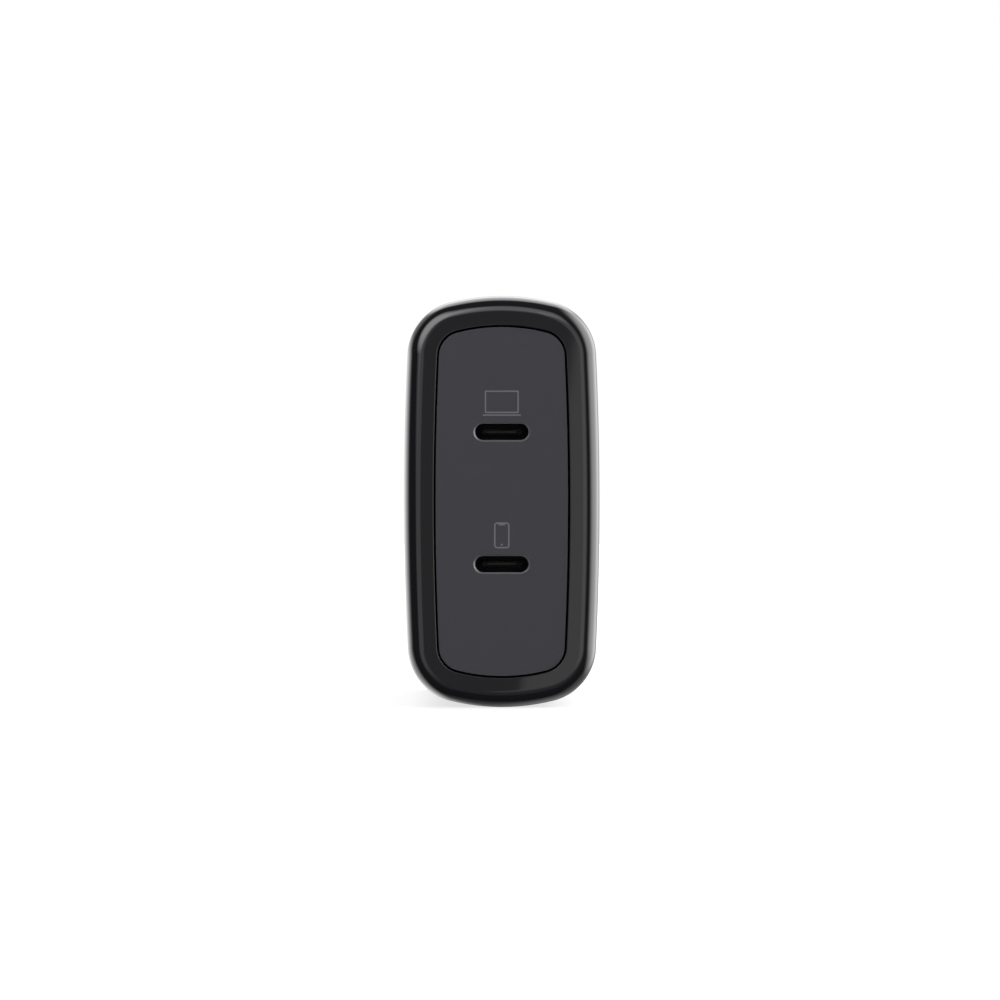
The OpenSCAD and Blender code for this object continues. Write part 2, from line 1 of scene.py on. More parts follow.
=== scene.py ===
# %% [markdown]
# # A wall charger with two USB-C ports
# The real charger is a deep moulded sleeve with a glossy front edge, a matt panel glued into its
# mouth, and a rear cover that carries a plug with two folding blades. Boards, capacitors and a
# transformer fill the inside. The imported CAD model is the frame: it says where everything is and
# what turns. This script gives each piece that can be seen its finished mesh, and gives every
# piece a material. Lengths are in metres; `MM` turns millimetres into metres.

# %% Load the frame and measure it
import json
import math

import bmesh
import bpy
from mathutils import Matrix, Vector

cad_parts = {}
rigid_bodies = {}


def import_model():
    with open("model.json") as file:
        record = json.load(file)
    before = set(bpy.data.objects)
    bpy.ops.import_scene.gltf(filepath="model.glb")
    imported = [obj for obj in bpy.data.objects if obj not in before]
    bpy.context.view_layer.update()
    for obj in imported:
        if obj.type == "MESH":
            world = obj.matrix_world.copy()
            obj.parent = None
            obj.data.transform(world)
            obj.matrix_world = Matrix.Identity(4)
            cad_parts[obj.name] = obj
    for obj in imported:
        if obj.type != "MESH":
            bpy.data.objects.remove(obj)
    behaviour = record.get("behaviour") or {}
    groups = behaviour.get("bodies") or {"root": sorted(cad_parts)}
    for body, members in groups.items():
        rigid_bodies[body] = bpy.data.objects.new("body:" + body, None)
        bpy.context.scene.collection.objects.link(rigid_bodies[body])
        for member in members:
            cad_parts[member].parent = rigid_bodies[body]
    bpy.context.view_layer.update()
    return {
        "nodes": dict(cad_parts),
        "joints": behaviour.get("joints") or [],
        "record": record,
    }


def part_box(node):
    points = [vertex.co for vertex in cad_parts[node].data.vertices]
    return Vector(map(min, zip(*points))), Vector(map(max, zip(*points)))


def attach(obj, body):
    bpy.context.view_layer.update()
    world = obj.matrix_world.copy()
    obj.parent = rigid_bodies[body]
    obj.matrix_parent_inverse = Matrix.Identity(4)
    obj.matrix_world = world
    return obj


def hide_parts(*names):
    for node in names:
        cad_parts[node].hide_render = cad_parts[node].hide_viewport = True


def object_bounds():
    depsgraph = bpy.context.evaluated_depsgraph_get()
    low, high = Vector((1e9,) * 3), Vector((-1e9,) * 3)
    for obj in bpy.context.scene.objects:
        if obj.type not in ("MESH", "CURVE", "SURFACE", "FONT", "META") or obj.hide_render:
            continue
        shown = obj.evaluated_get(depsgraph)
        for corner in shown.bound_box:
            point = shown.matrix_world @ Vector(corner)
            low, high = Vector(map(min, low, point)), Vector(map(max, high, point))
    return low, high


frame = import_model()
MM = 0.001

shell_low, shell_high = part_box("housing_shell")
panel_low, panel_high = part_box("front_panel")
FRONT_Y = shell_low.y
SHELL_END = shell_high.y
HALF_W = shell_high.x
HALF_H = shell_high.z
print(f"body: {2000 * HALF_W:.1f} mm wide, {2000 * HALF_H:.1f} mm tall")
print(f"front face at {1000 * FRONT_Y:.1f} mm")

# %% [markdown]
# ## Camera
# The charger is seen from straight in front, through a long lens, so that its sides stay hidden
# behind the rounded front edge. A 135 mm lens on a 36 mm sensor does that from about 0.6 m. The
# camera could also be orthographic, but then the far end of the body would look as large as the
# near end. It stands a little left of the middle and a little above it, so the charger sits a
# touch low and right in the frame.

# %% Camera
LENS = 135.0
SENSOR = 36.0
FIELD = 161.3 * MM
EYE = Vector((-0.29 * MM, FRONT_Y - FIELD * LENS / SENSOR, 0.26 * MM))

camera_data = bpy.data.cameras.new("camera")
camera_data.lens = LENS
camera_data.sensor_width = SENSOR
camera = bpy.data.objects.new("camera", camera_data)
camera.location = EYE
camera.rotation_euler = (math.radians(90), 0, 0)
camera_data.clip_start = 0.01
bpy.context.scene.collection.objects.link(camera)
bpy.context.scene.camera = camera
print(f"camera: {FRONT_Y - EYE.y:.3f} m in front of the panel")

# %% [markdown]
# ## The outline, drawn with arcs
# Seen from the front, the body is four faintly bowed sides that run into four round corners. Each
# stretch is a true arc, so the outline could be a list of points, a curve object or a chain of
# spins. Spinning about each arc's centre in turn is the shortest, and it has a gift: a parallel
# outline, nearer the middle, keeps the same centres and only shortens the radii. Every ring on
# the body is therefore the same outline with another `inset`. Two circles that touch have their
# centres a difference of radii apart, which is how the corner's centre is found here.

# %% Arc centres of the outline
SIDE_R = 503 * MM
TOP_R = 34.7 * MM
CORNER_R = 9.1 * MM

side_centre = Vector((HALF_W - SIDE_R, 0))
top_centre = Vector((0, HALF_H - TOP_R))
apart = (top_centre - side_centre).length
towards_top = (top_centre - side_centre) / apart
from_side, from_top = SIDE_R - CORNER_R, TOP_R - CORNER_R
along = (from_side**2 - from_top**2 + apart**2) / (2 * apart)
across = math.sqrt(from_side**2 - along**2)
corner_centre = side_centre + along * towards_top + across * Vector((-towards_top.y, towards_top.x))
SIDE_END = math.atan2(corner_centre.y - side_centre.y, corner_centre.x - side_centre.x)
TOP_START = math.atan2(corner_centre.y - top_centre.y, corner_centre.x - top_centre.x)
print(f"corner arcs run from {math.degrees(SIDE_END):.1f} to {math.degrees(TOP_START):.1f} degrees")


# %% [markdown]
# ## Taking a section round an outline
# Most of this charger is one small section taken round an outline, as a plasterer runs a cornice
# round a ceiling. The section is a chain of vertices in the plane of depth and inset. `sweep`
# spins it about the first arc's centre, takes what the spin left at its end, spins that about the
# next centre, and so on until it meets its own start, where the two are merged. A straight run is
# a spin of no angle that slides. Bridging ready-made rings would do too, but the operator has to
# guess which vertex belongs to which, and in a flat ring it can guess wrong.

# %% Helpers that sweep a section
TURN = 2 * math.pi
JOIN = 2e-6


def turn(centre, angle, steps):
    """One arc of an outline, about its centre."""
    return (centre[0], 0, centre[1]), angle, steps, (0, 0, 0)


def run(dx, dz):
    """One straight stretch of an outline."""
    return (0, 0, 0), 0, 1, (dx, 0, dz)


def outline():
    """The body's outline: where it starts, its first radius and angle, and its arcs."""
    side, top, corner = side_centre, top_centre, corner_centre
    corner_sweep = TOP_START - SIDE_END
    moves = []
    for half in (1, -1):
        moves += [
            turn(half * side, 2 * SIDE_END, 12),
            turn(half * corner, corner_sweep, 24),
            turn(half * top, math.pi - 2 * TOP_START, 12),
            turn((-half * corner.x, half * corner.y), corner_sweep, 24),
        ]
    return side, SIDE_R, -SIDE_END, moves


def stadium(width, height, z, steps=16):
    """Two half circles joined by straight stretches, as a USB-C mouth is."""
    middle = (width - height) / 2
    moves = []
    for x in (middle, -middle):
        moves += [turn((x, z), math.pi, steps), run(-2 * x, 0)]
    return (middle, z), height / 2, -math.pi / 2, moves


def rounded_box(width, height, radius, z, steps=6):
    """Four quarter circles joined by straight stretches."""
    w, h = width / 2 - radius, height / 2 - radius
    moves = []
    for x, dz, dx, rise in ((w, -h, 0, 2 * h), (w, h, -2 * w, 0), (-w, h, 0, -2 * h), (-w, -h, 2 * w, 0)):
        moves += [turn((x, z + dz), math.pi / 2, steps), run(dx, rise)]
    return (w, z - h), radius, -math.pi / 2, moves


def sweep(bm, shape, path, closed=False):
    """Takes a section of (inset, y) points round an outline."""
    (cx, cz), radius, start, moves = shape
    first = []
    for inset, y in path:
        r = radius - inset
        first.append(bm.verts.new((cx + r * math.cos(start), y, cz + r * math.sin(start))))
    ends = list(zip(first, first[1:]))
    if closed:
        ends.append((first[-1], first[0]))
    section = first + [bm.edges.new(pair) for pair in ends]
    for centre, angle, steps, slide in moves:
        spun = bmesh.ops.spin(bm, geom=section, cent=centre, axis=(0, -1, 0), angle=angle, steps=steps,
                              dvec=slide, use_duplicate=False)
        section = spun["geom_last"]
    seam = first + [g for g in section if isinstance(g, bmesh.types.BMVert)]
    bmesh.ops.remove_doubles(bm, verts=seam, dist=JOIN)


def cap(bm):
    """A flat face in every open end."""
    bmesh.ops.holes_fill(bm, edges=[e for e in bm.edges if e.is_boundary], sides=0)


def rounding(centre, radius, start, stop, steps=6):
    """Points (inset, y) of a rounded edge, from one angle to another, in degrees."""
    points = []
    for i in range(steps + 1):
        a = math.radians(start + (stop - start) * i / steps)
        points.append((centre[0] + radius * math.cos(a), centre[1] + radius * math.sin(a)))
    return points


# %% [markdown]
# ## Finishing a piece
# Every new piece ends in the same way. Its normals are turned outwards, its faces are shaded
# smooth up to a set angle, and a Weighted Normal modifier lets the large flat faces win over the
# thin roundings beside them, so that a glossy flat stays flat right up to its edge. Then the
# piece is told which body it rides on, which CAD node it stands for and which finish it has.

# %% Helper that turns a bmesh into a piece
new_pieces = []


def piece(name, bm, body, slot, stands_for, crease=32):
    """Makes the object, and tells the frame what it is."""
    bmesh.ops.recalc_face_normals(bm, faces=bm.faces)
    mesh = bpy.data.meshes.new(name)
    bm.to_mesh(mesh)
    bm.free()
    mesh.shade_smooth()
    mesh.set_sharp_from_angle(angle=math.radians(crease))
    made = bpy.data.objects.new(name, mesh)
    bpy.context.scene.collection.objects.link(made)
    weighted = made.modifiers.new("flat faces stay flat", "WEIGHTED_NORMAL")
    weighted.keep_sharp = True
    weighted.weight = 80
    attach(made, body)
    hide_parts(*stands_for)
    new_pieces.append((made, slot))
    print(f"{name}: {len(mesh.vertices)} vertices, {len(mesh.polygons)} faces")
    return made


# %% [markdown]
# ## Shell
# The shell is one moulding: a sleeve, a rounded front edge of 2.7 mm radius, a flat bezel and the
# pocket that the panel lies in. Its section is a path of (inset, y) points that starts at the
# seam with the rear cover, runs forward along the outside, over the front edge, into the pocket
# and back along the inside to where it started, so the wall is closed all round. The bezel's
# inner edge has a tiny radius, which is what catches a thin line of light on the real moulding.
# Two more points hold the bezel flat beside its curved neighbours, so that the smooth shading
# doesn't bend the mirror where the curve begins. A sloping groove in the pocket's corner takes up
# surplus glue, and it keeps the gap round the panel dark. The faces behind the line where the
# mould's polish ends are marked for a second finish, the satin one.

# %% Shell
EDGE_R = 2.7 * MM
BEZEL_W = 4.82 * MM
LEDGE_W = 1.5 * MM
LIP_T = 2.7 * MM
WALL = 2.2 * MM
SEAM_R = 0.15 * MM
BEZEL_R = 0.06 * MM
HOLD = 0.08 * MM
GROOVE = 0.4 * MM
TAPE_T = 0.15 * MM
pocket_y = panel_high.y + TAPE_T
SATIN_Y = FRONT_Y + EDGE_R + 0.9 * MM


def shell_mesh():
    path = rounding((SEAM_R, SHELL_END - SEAM_R), SEAM_R, 90, 180, 4) + [(0, SATIN_Y)]
    path += rounding((EDGE_R, FRONT_Y + EDGE_R), EDGE_R, 180, 270, 16)
    path += [(EDGE_R + HOLD, FRONT_Y), (BEZEL_W - BEZEL_R - HOLD, FRONT_Y)]
    path += rounding((BEZEL_W - BEZEL_R, FRONT_Y + BEZEL_R), BEZEL_R, 270, 360, 4)
    path += [
        (BEZEL_W, pocket_y + GROOVE),
        (BEZEL_W + GROOVE, pocket_y),
        (BEZEL_W + LEDGE_W, pocket_y),
        (BEZEL_W + LEDGE_W, FRONT_Y + LIP_T),
        (WALL, FRONT_Y + LIP_T),
        (WALL, SHELL_END),
    ]
    bm = bmesh.new()
    sweep(bm, outline(), path, closed=True)
    return bm


shell = piece("shell", shell_mesh(), "root", "shell_plastic", ["housing_shell"])
for face in shell.data.polygons:
    face.material_index = int(face.center.y > SATIN_Y)

# %% [markdown]
# ## Front panel
# The panel is a flat plate with two stadium-shaped cutouts, each with a narrow chamfer that is
# milled after moulding and guides the cable's plug. Its rim and the walls of the two cutouts are
# swept first. Then the flat front and back are filled between the three open ends that lie in each
# plane. A Boolean would cut the same holes, but a fill between known ends keeps the chamfers clean.

# %% Front panel
PANEL_R = 0.06 * MM
SHRINK = 0.03 * MM
PANEL_IN = HALF_W - panel_high.x + SHRINK
CUTOUT_W = 8.64 * MM
CUTOUT_H = 2.6 * MM
CHAMFER = 0.28 * MM
CHAMFER_DEEP = 0.2 * MM
panel_y = panel_low.y
port_heights = [sum(c.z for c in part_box(f"usb_c_shell_{name}")) / 2 for name in ("upper", "lower")]


def panel_mesh():
    bm = bmesh.new()
    rim = [(PANEL_IN, panel_high.y)]
    rim += rounding((PANEL_IN + PANEL_R, panel_y + PANEL_R), PANEL_R, 180, 270, 4)
    sweep(bm, outline(), rim)
    hole = [(-CHAMFER, panel_y), (0, panel_y + CHAMFER_DEEP), (0, panel_high.y)]
    for z in port_heights:
        sweep(bm, stadium(CUTOUT_W, CUTOUT_H, z), hole)
    for y in (panel_y, panel_high.y):
        ends = [e for e in bm.edges if e.is_boundary and abs(e.verts[0].co.y - y) < JOIN]
        bmesh.ops.triangle_fill(bm, edges=ends, use_beauty=True, normal=(0, -1, 0))
    return bm


piece("panel", panel_mesh(), "root", "panel_plastic", ["front_panel"])

# %% [markdown]
# ## USB-C sockets
# Behind each cutout sits a receptacle: a drawn steel tube, a plastic tongue down its middle and
# twenty-four gold contacts. The tube's mouth is rolled, so its edge is round and not cut square,
# and four short legs stand on the board. The tongue starts with a small rounded nose, widens over
# its first half millimetre and ends in the block that closes the tube. All three are sections
# taken round a small outline.

# %% Sockets and tongues
TUBE_W = 8.34 * MM
TUBE_H = 2.56 * MM
TUBE_T = 0.3 * MM
TONGUE_W = 6.69 * MM
TONGUE_T = 0.7 * MM
TONGUE_R = 0.3 * MM
NOSE_R = 0.22 * MM
TAPER = 0.5 * MM
TIP_W = 5.0 * MM
BLOCK_DEEP = 3 * MM
LEG_W = 1.0 * MM
LEG = 1.2 * MM
FIT = 0.05 * MM


def box_between(bm, low, high):
    """A cube operator stretched between two corners."""
    low, high = Vector(low), Vector(high)
    place = Matrix.Translation((low + high) / 2) @ Matrix.Diagonal((*(high - low), 1))
    return bmesh.ops.create_cube(bm, size=1, matrix=place)


def tube_mesh(low, high, z):
    rear = high.y - LEG
    roll = TUBE_T / 2
    bm = bmesh.new()
    path = [(0, rear)] + rounding((roll, low.y + roll), roll, 180, 360, 12) + [(TUBE_T, rear)]
    sweep(bm, stadium(TUBE_W + 2 * TUBE_T, TUBE_H + 2 * TUBE_T, z), path, closed=True)
    inner, outer = TUBE_H / 2, TUBE_H / 2 + TUBE_T
    for x in (-2.4 * MM, 2.4 * MM):
        for foot, head in ((inner, outer), (-outer, -inner)):
            box_between(bm, (x - LEG_W / 2, rear, z + foot), (x + LEG_W / 2, high.y, z + head))
    return bm


def tongue_mesh(low, high, z):
    block_y = high.y - BLOCK_DEEP
    bm = bmesh.new()
    nose = rounding((NOSE_R, low.y + NOSE_R), NOSE_R, 270, 180, 6)
    sweep(bm, rounded_box(TONGUE_W, TONGUE_T, TONGUE_R, z), nose + [(0, low.y + TAPER), (0, block_y)])
    tip = [v for v in bm.verts if v.co.y < low.y + NOSE_R + JOIN]
    bmesh.ops.scale(bm, vec=(TIP_W / TONGUE_W, 1, 1), verts=tip)
    sweep(bm, stadium(TUBE_W - 2 * FIT, TUBE_H - 2 * FIT, z), [(0, block_y), (0, high.y)])
    cap(bm)
    return bm


for side, z in zip(("upper", "lower"), port_heights):
    low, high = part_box(f"usb_c_shell_{side}")
    piece(f"socket_{side}", tube_mesh(low, high, z), "root", "shell_steel", [f"usb_c_shell_{side}"])
    low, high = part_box(f"usb_c_tongue_{side}")
    piece(f"tongue_{side}", tongue_mesh(low, high, z), "root", "insulator_plastic",
          [f"usb_c_tongue_{side}"])

# %% [markdown]
# ## Rear cover
# The cover closes the sleeve's rear. Its face has the same rounded edge as the front, and it is
# cut by the bay for the plug's carrier, two slots for the blades and a finger scoop across their
# tips. Slots that cross a scoop are no sweep, so here a Boolean is the right tool: the solid
# cover is swept first, and then the cutters are taken away. The sharp edges that they leave are
# bevelled afterwards, because nothing moulded has a knife edge.

# %% Rear cover: the solid and what is cut from it
COVER_T = 2.4 * MM
COVER_LIP = 1.3 * MM
SEAM_GAP = 0.2 * MM
GAP = 0.3 * MM
CARRIER_R = 3.5 * MM
STUB_R = 1.3 * MM
STUB_ROOM = 11.5 * MM
BLADE_T = 1.5 * MM
BLADE_GAP = 0.25 * MM
SCOOP_R = 9 * MM
SCOOP_DEPTH = 1.8 * MM

cover_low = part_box("rear_cover")[0]
blade_low, blade_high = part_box("blade_right")
carrier_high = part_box("blade_carrier")[1]
PIVOT = Vector(frame["joints"][0]["pos_m"])
BLADE_X = (blade_low.x + blade_high.x) / 2
BAY_HALF = 9.6 * MM
BOX_HALF = 12 * MM
bay_bottom = PIVOT.z - 5.3 * MM
bay_top = PIVOT.z + 6.9 * MM
ear_y = -4.8 * MM
slot_end = blade_low.z - 0.4 * MM
slot_floor = blade_low.y - GAP
scoop_z = blade_low.z + 2.6 * MM
seam_y = SHELL_END + SEAM_GAP
lip_y = -6.2 * MM


def rod_along_x(bm, radius, half, y, z, segments=96):
    """A cone operator with equal ends, laid along X."""
    place = Matrix.Translation((0, y, z)) @ Matrix.Rotation(math.pi / 2, 4, "Y")
    bmesh.ops.create_cone(bm, cap_ends=True, segments=segments, radius1=radius, radius2=radius,
                          depth=2 * half, matrix=place)


def spun_bar(points, y, z, steps=72):
    """A lathe along X: (x, radius) points spun once round the axis, with its seam merged."""
    bm = bmesh.new()
    line = [bm.verts.new((x, y, z + r)) for x, r in points]
    edges = [bm.edges.new(pair) for pair in zip(line, line[1:])]
    bmesh.ops.spin(bm, geom=line + edges, cent=(0, y, z), axis=(1, 0, 0), angle=TURN, steps=steps,
                   use_merge=True, use_duplicate=False)
    bmesh.ops.remove_doubles(bm, verts=bm.verts, dist=JOIN)
    return bm


def cover_solid():
    path = [
        (WALL + COVER_LIP, -COVER_T),
        (WALL + COVER_LIP, lip_y),
        (WALL + FIT, lip_y),
        (WALL + FIT, seam_y),
    ]
    path += rounding((SEAM_R, seam_y + SEAM_R), SEAM_R, 270, 180, 4)
    path += rounding((EDGE_R, -EDGE_R), EDGE_R, 180, 90, 16)
    bm = bmesh.new()
    sweep(bm, outline(), path)
    cap(bm)
    bmesh.ops.recalc_face_normals(bm, faces=bm.faces)
    return bm


def plug_blocks():
    """The bay's walls, two wells and two screw bosses, which stand on the inside of the cover."""
    bm = bmesh.new()
    top = -COVER_T / 2
    box_between(bm, (-BOX_HALF, PIVOT.y, bay_bottom), (BOX_HALF, top, bay_top))
    for x in (-BLADE_X, BLADE_X):
        half = BLADE_T / 2 + BLADE_GAP + 1.2 * MM
        box_between(bm, (x - half, cover_low.y, slot_end - 1.2 * MM), (x + half, top, bay_bottom - 0.1 * MM))
    for z in (bay_bottom - 2.4 * MM, bay_top + 2.4 * MM):
        place = Matrix.Translation((0, (ear_y + top) / 2, z)) @ Matrix.Rotation(math.pi / 2, 4, "X")
        bmesh.ops.create_cone(bm, cap_ends=True, segments=32, radius1=2.3 * MM, radius2=2.3 * MM,
                              depth=top - ear_y, matrix=place)
    return bm


def bay_cutter():
    bm = bmesh.new()
    r = CARRIER_R + GAP
    box_between(bm, (-BAY_HALF, PIVOT.y, PIVOT.z - r), (BAY_HALF, MM, PIVOT.z + r))
    return bm


def trough_cutter():
    """The round room for the carrier and, at each end, for its bearing stub."""
    half = [(BAY_HALF, CARRIER_R + GAP), (BAY_HALF, STUB_R + FIT), (STUB_ROOM, STUB_R + FIT), (STUB_ROOM, 0)]
    return spun_bar([(-x, r) for x, r in half[::-1]] + half, PIVOT.y, PIVOT.z)


def tails_cutter():
    """Room for the blades' tails, on the inside of the bay's wall."""
    bm = bmesh.new()
    half = BLADE_T / 2 + BLADE_GAP
    for x in (-BLADE_X, BLADE_X):
        low = (x - half, cover_low.y, PIVOT.z - 2.4 * MM)
        box_between(bm, low, (x + half, -COVER_T - FIT, PIVOT.z + 5.9 * MM))
    return bm


def slots_cutter():
    bm = bmesh.new()
    half = BLADE_T / 2 + BLADE_GAP
    for x in (-BLADE_X, BLADE_X):
        box_between(bm, (x - half, slot_floor, slot_end), (x + half, MM, PIVOT.z))
    return bm


def scoop_cutter():
    bm = bmesh.new()
    rod_along_x(bm, SCOOP_R, BAY_HALF, SCOOP_R - SCOOP_DEPTH, scoop_z, segments=160)
    return bm


# %% [markdown]
# ### Cutting and softening the cover
# Each cutter is a Boolean modifier with the exact solver. The result is read back as one mesh, so
# no modifier is left to run later. Then the edges round the bay and the slots are found by what
# they are: convex, sharper than 40 degrees, and on the rear face. Those get a small bevel.

# %% Rear cover: cut it and bevel the mouths
def combine(name, bm, steps):
    """The mesh that is left after each (operation, bmesh) step."""
    mesh = bpy.data.meshes.new(name)
    bm.to_mesh(mesh)
    bm.free()
    base = bpy.data.objects.new(name, mesh)
    bpy.context.scene.collection.objects.link(base)
    tools = []
    for operation, tool_bm in steps:
        tool_mesh = bpy.data.meshes.new(name + "_tool")
        tool_bm.to_mesh(tool_mesh)
        tool_bm.free()
        tool = bpy.data.objects.new(name + "_tool", tool_mesh)
        bpy.context.scene.collection.objects.link(tool)
        cut = base.modifiers.new(operation, "BOOLEAN")
        cut.operation = operation
        cut.solver = "EXACT"
        cut.object = tool
        tools.append(tool)
    depsgraph = bpy.context.evaluated_depsgraph_get()
    result = bmesh.new()
    result.from_object(base, depsgraph)
    for spent in [base, *tools]:
        bpy.data.objects.remove(spent)
    bmesh.ops.remove_doubles(result, verts=result.verts, dist=JOIN)
    bmesh.ops.dissolve_degenerate(result, edges=result.edges, dist=JOIN)
    return result


def soften(bm, wanted, width, segments=2):
    """Bevels the convex edges that wanted picks."""
    bm.normal_update()
    sharp = math.radians(30)
    edges = [
        e for e in bm.edges
        if len(e.link_faces) == 2 and e.calc_face_angle_signed(0) > sharp and wanted(e)
    ]
    bmesh.ops.bevel(bm, geom=edges, offset=width, offset_type="OFFSET", segments=segments,
                    profile=0.5, affect="EDGES", material=-1, clamp_overlap=True)
    return len(edges)


cover_bm = combine("rear_cover_blank", cover_solid(), [
    ("UNION", plug_blocks()),
    ("DIFFERENCE", bay_cutter()),
    ("DIFFERENCE", trough_cutter()),
    ("DIFFERENCE", slots_cutter()),
    ("DIFFERENCE", tails_cutter()),
    ("DIFFERENCE", scoop_cutter()),
])


def on_rear_mouth(edge):
    middle = (edge.verts[0].co + edge.verts[1].co) / 2
    inside = abs(middle.x) < BAY_HALF + 0.1 * MM
    return inside and middle.y > -SCOOP_DEPTH - 0.1 * MM and middle.z > scoop_z - 6 * MM


bevelled = soften(cover_bm, on_rear_mouth, 0.18 * MM)
piece("back_cover", cover_bm, "root", "cover_plastic", ["rear_cover"])
print(f"rear cover: {bevelled} edges softened")

# %% [markdown]
# ## Plug
# The carrier is a round bar with a thinner stub at each end, so it is a short profile spun about
# its own axis. A cylinder with two more on its ends would leave hard corners where they meet.

# %% Carrier
def carrier_points():
    stub_end = carrier_high.x
    bar_end = 9.4 * MM
    soft = 0.35 * MM
    chamfer = 0.2 * MM
    side = [(stub_end, 0), (stub_end, STUB_R - chamfer), (stub_end - chamfer, STUB_R), (bar_end, STUB_R)]
    side += [
        (bar_end - soft + soft * math.cos(a), CARRIER_R - soft + soft * math.sin(a))
        for a in (math.radians(15 * i) for i in range(7))
    ]
    return [(-x, r) for x, r in side] + side[::-1]


piece("plug_carrier", spun_bar(carrier_points(), PIVOT.y, PIVOT.z), "plug", "carrier_plastic",
      ["blade_carrier"])

# %% [markdown]
# ### Blades
# The blades are stamped from brass strip: the outline is one flat face, extruded to the strip's
# thickness, drilled by a Boolean and bevelled all round, because a coined blade has soft edges
# that let it find its slot.

# %% Blades
BLADE_TAPER = 1.3 * MM
HOLE_R = 1.6 * MM
HOLE_FROM_TIP = 5.1 * MM
TAIL_HALF = 1.2 * MM
ROOT = 1.2 * MM


def blade_mesh(x):
    half = (blade_high.y - blade_low.y) / 2
    tip, tail = blade_low.z, blade_high.z
    shoulder = tip + 2 * BLADE_TAPER
    corners = [
        (-half, shoulder), (BLADE_TAPER - half, tip), (half - BLADE_TAPER, tip), (half, shoulder),
        (half, PIVOT.z + ROOT), (TAIL_HALF, PIVOT.z + ROOT), (TAIL_HALF, tail), (-TAIL_HALF, tail),
        (-TAIL_HALF, PIVOT.z + ROOT), (-half, PIVOT.z + ROOT),
    ]
    bm = bmesh.new()
    face = bm.faces.new([bm.verts.new((x - BLADE_T / 2, PIVOT.y + y, z)) for y, z in corners])
    grown = bmesh.ops.extrude_face_region(bm, geom=[face])
    moved = [g for g in grown["geom"] if isinstance(g, bmesh.types.BMVert)]
    bmesh.ops.translate(bm, verts=moved, vec=(BLADE_T, 0, 0))
    bmesh.ops.recalc_face_normals(bm, faces=bm.faces)
    soften(bm, lambda edge: True, 0.28 * MM, segments=3)
    drill = bmesh.new()
    rod_along_x(drill, HOLE_R, 20 * MM, PIVOT.y, tip + HOLE_FROM_TIP, segments=48)
    drilled = combine("blade_blank", bm, [("DIFFERENCE", drill)])

    def at_the_hole(edge):
        middle = (edge.verts[0].co + edge.verts[1].co) / 2
        return abs((Vector((PIVOT.y, tip + HOLE_FROM_TIP)) - middle.yz).length - HOLE_R) < 0.05 * MM

    soften(drilled, at_the_hole, 0.12 * MM)
    return drilled


for side, x in (("left", -BLADE_X), ("right", BLADE_X)):
    piece(f"prong_{side}", blade_mesh(x), "plug", "blade_metal", [f"blade_{side}"])

# %% [markdown]
# ## Colours and shader nodes
# Colours are written as the sRGB hex values that a maker would read off a swatch, and one function
# turns them into the linear light that the renderer works in. One more function adds a shader
# node with its settings, constants and links, so every finish below is a short list of such
# calls. Patterns read the piece's own coordinates in metres, so a grain of 0.2 mm is a noise with
# a scale of one over 0.2 mm.

# %% Helpers for colours and nodes
MIX_A, MIX_B, MIX_OUT = 6, 7, 2


def colour(code):
    """sRGB hex to linear red, green, blue and alpha."""
    parts = [int(code[i:i + 2], 16) / 255 for i in (0, 2, 4)]
    linear = [c / 12.92 if c <= 0.04045 else ((c + 0.055) / 1.055) ** 2.4 for c in parts]
    return (*linear, 1.0)


def shade(code, factor):
    """The same colour, lighter or darker."""
    return tuple(min(1.0, c * factor) for c in colour(code)[:3]) + (1.0,)


def add(tree, kind, values=None, links=None, **settings):
    """Adds one node: settings are its options, values its constants and links its inputs."""
    made = tree.nodes.new(kind)
    for name, value in settings.items():
        setattr(made, name, value)
    for name, value in (values or {}).items():
        made.inputs[name].default_value = value
    for name, source in (links or {}).items():
        tree.links.new(source, made.inputs[name])
    return made


def start(name):
    """An empty material and the piece's own coordinates."""
    made = bpy.data.materials.new(name)
    made.use_nodes = True
    made.node_tree.nodes.clear()
    place = add(made.node_tree, "ShaderNodeTexCoord")
    return made, made.node_tree, place.outputs["Object"]


def surface(tree, values, links):
    """The shader and the output that end every material."""
    shader = add(tree, "ShaderNodeBsdfPrincipled", values, links)
    add(tree, "ShaderNodeOutputMaterial", links={"Surface": shader.outputs["BSDF"]})


# %% [markdown]
# ## Moulded plastic
# A moulding takes its surface from the steel of its mould. Where the steel is spark-eroded the
# plastic has a fine pebbled grain, and a matt or satin look that hides fingerprints. The recipe
# below is shared by every moulded piece: the colour drifts a little where the melt flowed, the
# roughness follows the grain, and the same grain drives the bump. Real grain here is about
# 0.05 mm, too fine to show, so it is drawn at 0.15 to 0.3 mm.

# %% Moulded plastics
FLOW = 12 * MM


def moulded(name, code, roughness, spread, grain, relief, drift=0.12, **values):
    """Plastic from a mould: grain is the size of its texture and relief the height, in metres."""
    made, tree, at = start(name)
    flow = add(tree, "ShaderNodeTexNoise", {"Scale": 1 / FLOW, "Detail": 3.0}, {"Vector": at})
    pebble = add(tree, "ShaderNodeTexNoise", {"Scale": 1 / grain, "Detail": 3.0}, {"Vector": at})
    tint = add(tree, "ShaderNodeMix", {MIX_A: shade(code, 1 - drift), MIX_B: shade(code, 1 + drift)},
               {"Factor": flow.outputs["Fac"]}, data_type="RGBA")
    rough = add(tree, "ShaderNodeMapRange",
                {"From Min": 0.3, "From Max": 0.7,
                 "To Min": roughness - spread, "To Max": roughness + spread},
                {"Value": pebble.outputs["Fac"]})
    bump = add(tree, "ShaderNodeBump", {"Distance": relief}, {"Height": pebble.outputs["Fac"]})
    surface(tree, {"IOR": 1.54, **values}, {
        "Base Color": tint.outputs[MIX_OUT],
        "Roughness": rough.outputs["Result"],
        "Normal": bump.outputs["Normal"],
    })
    return made


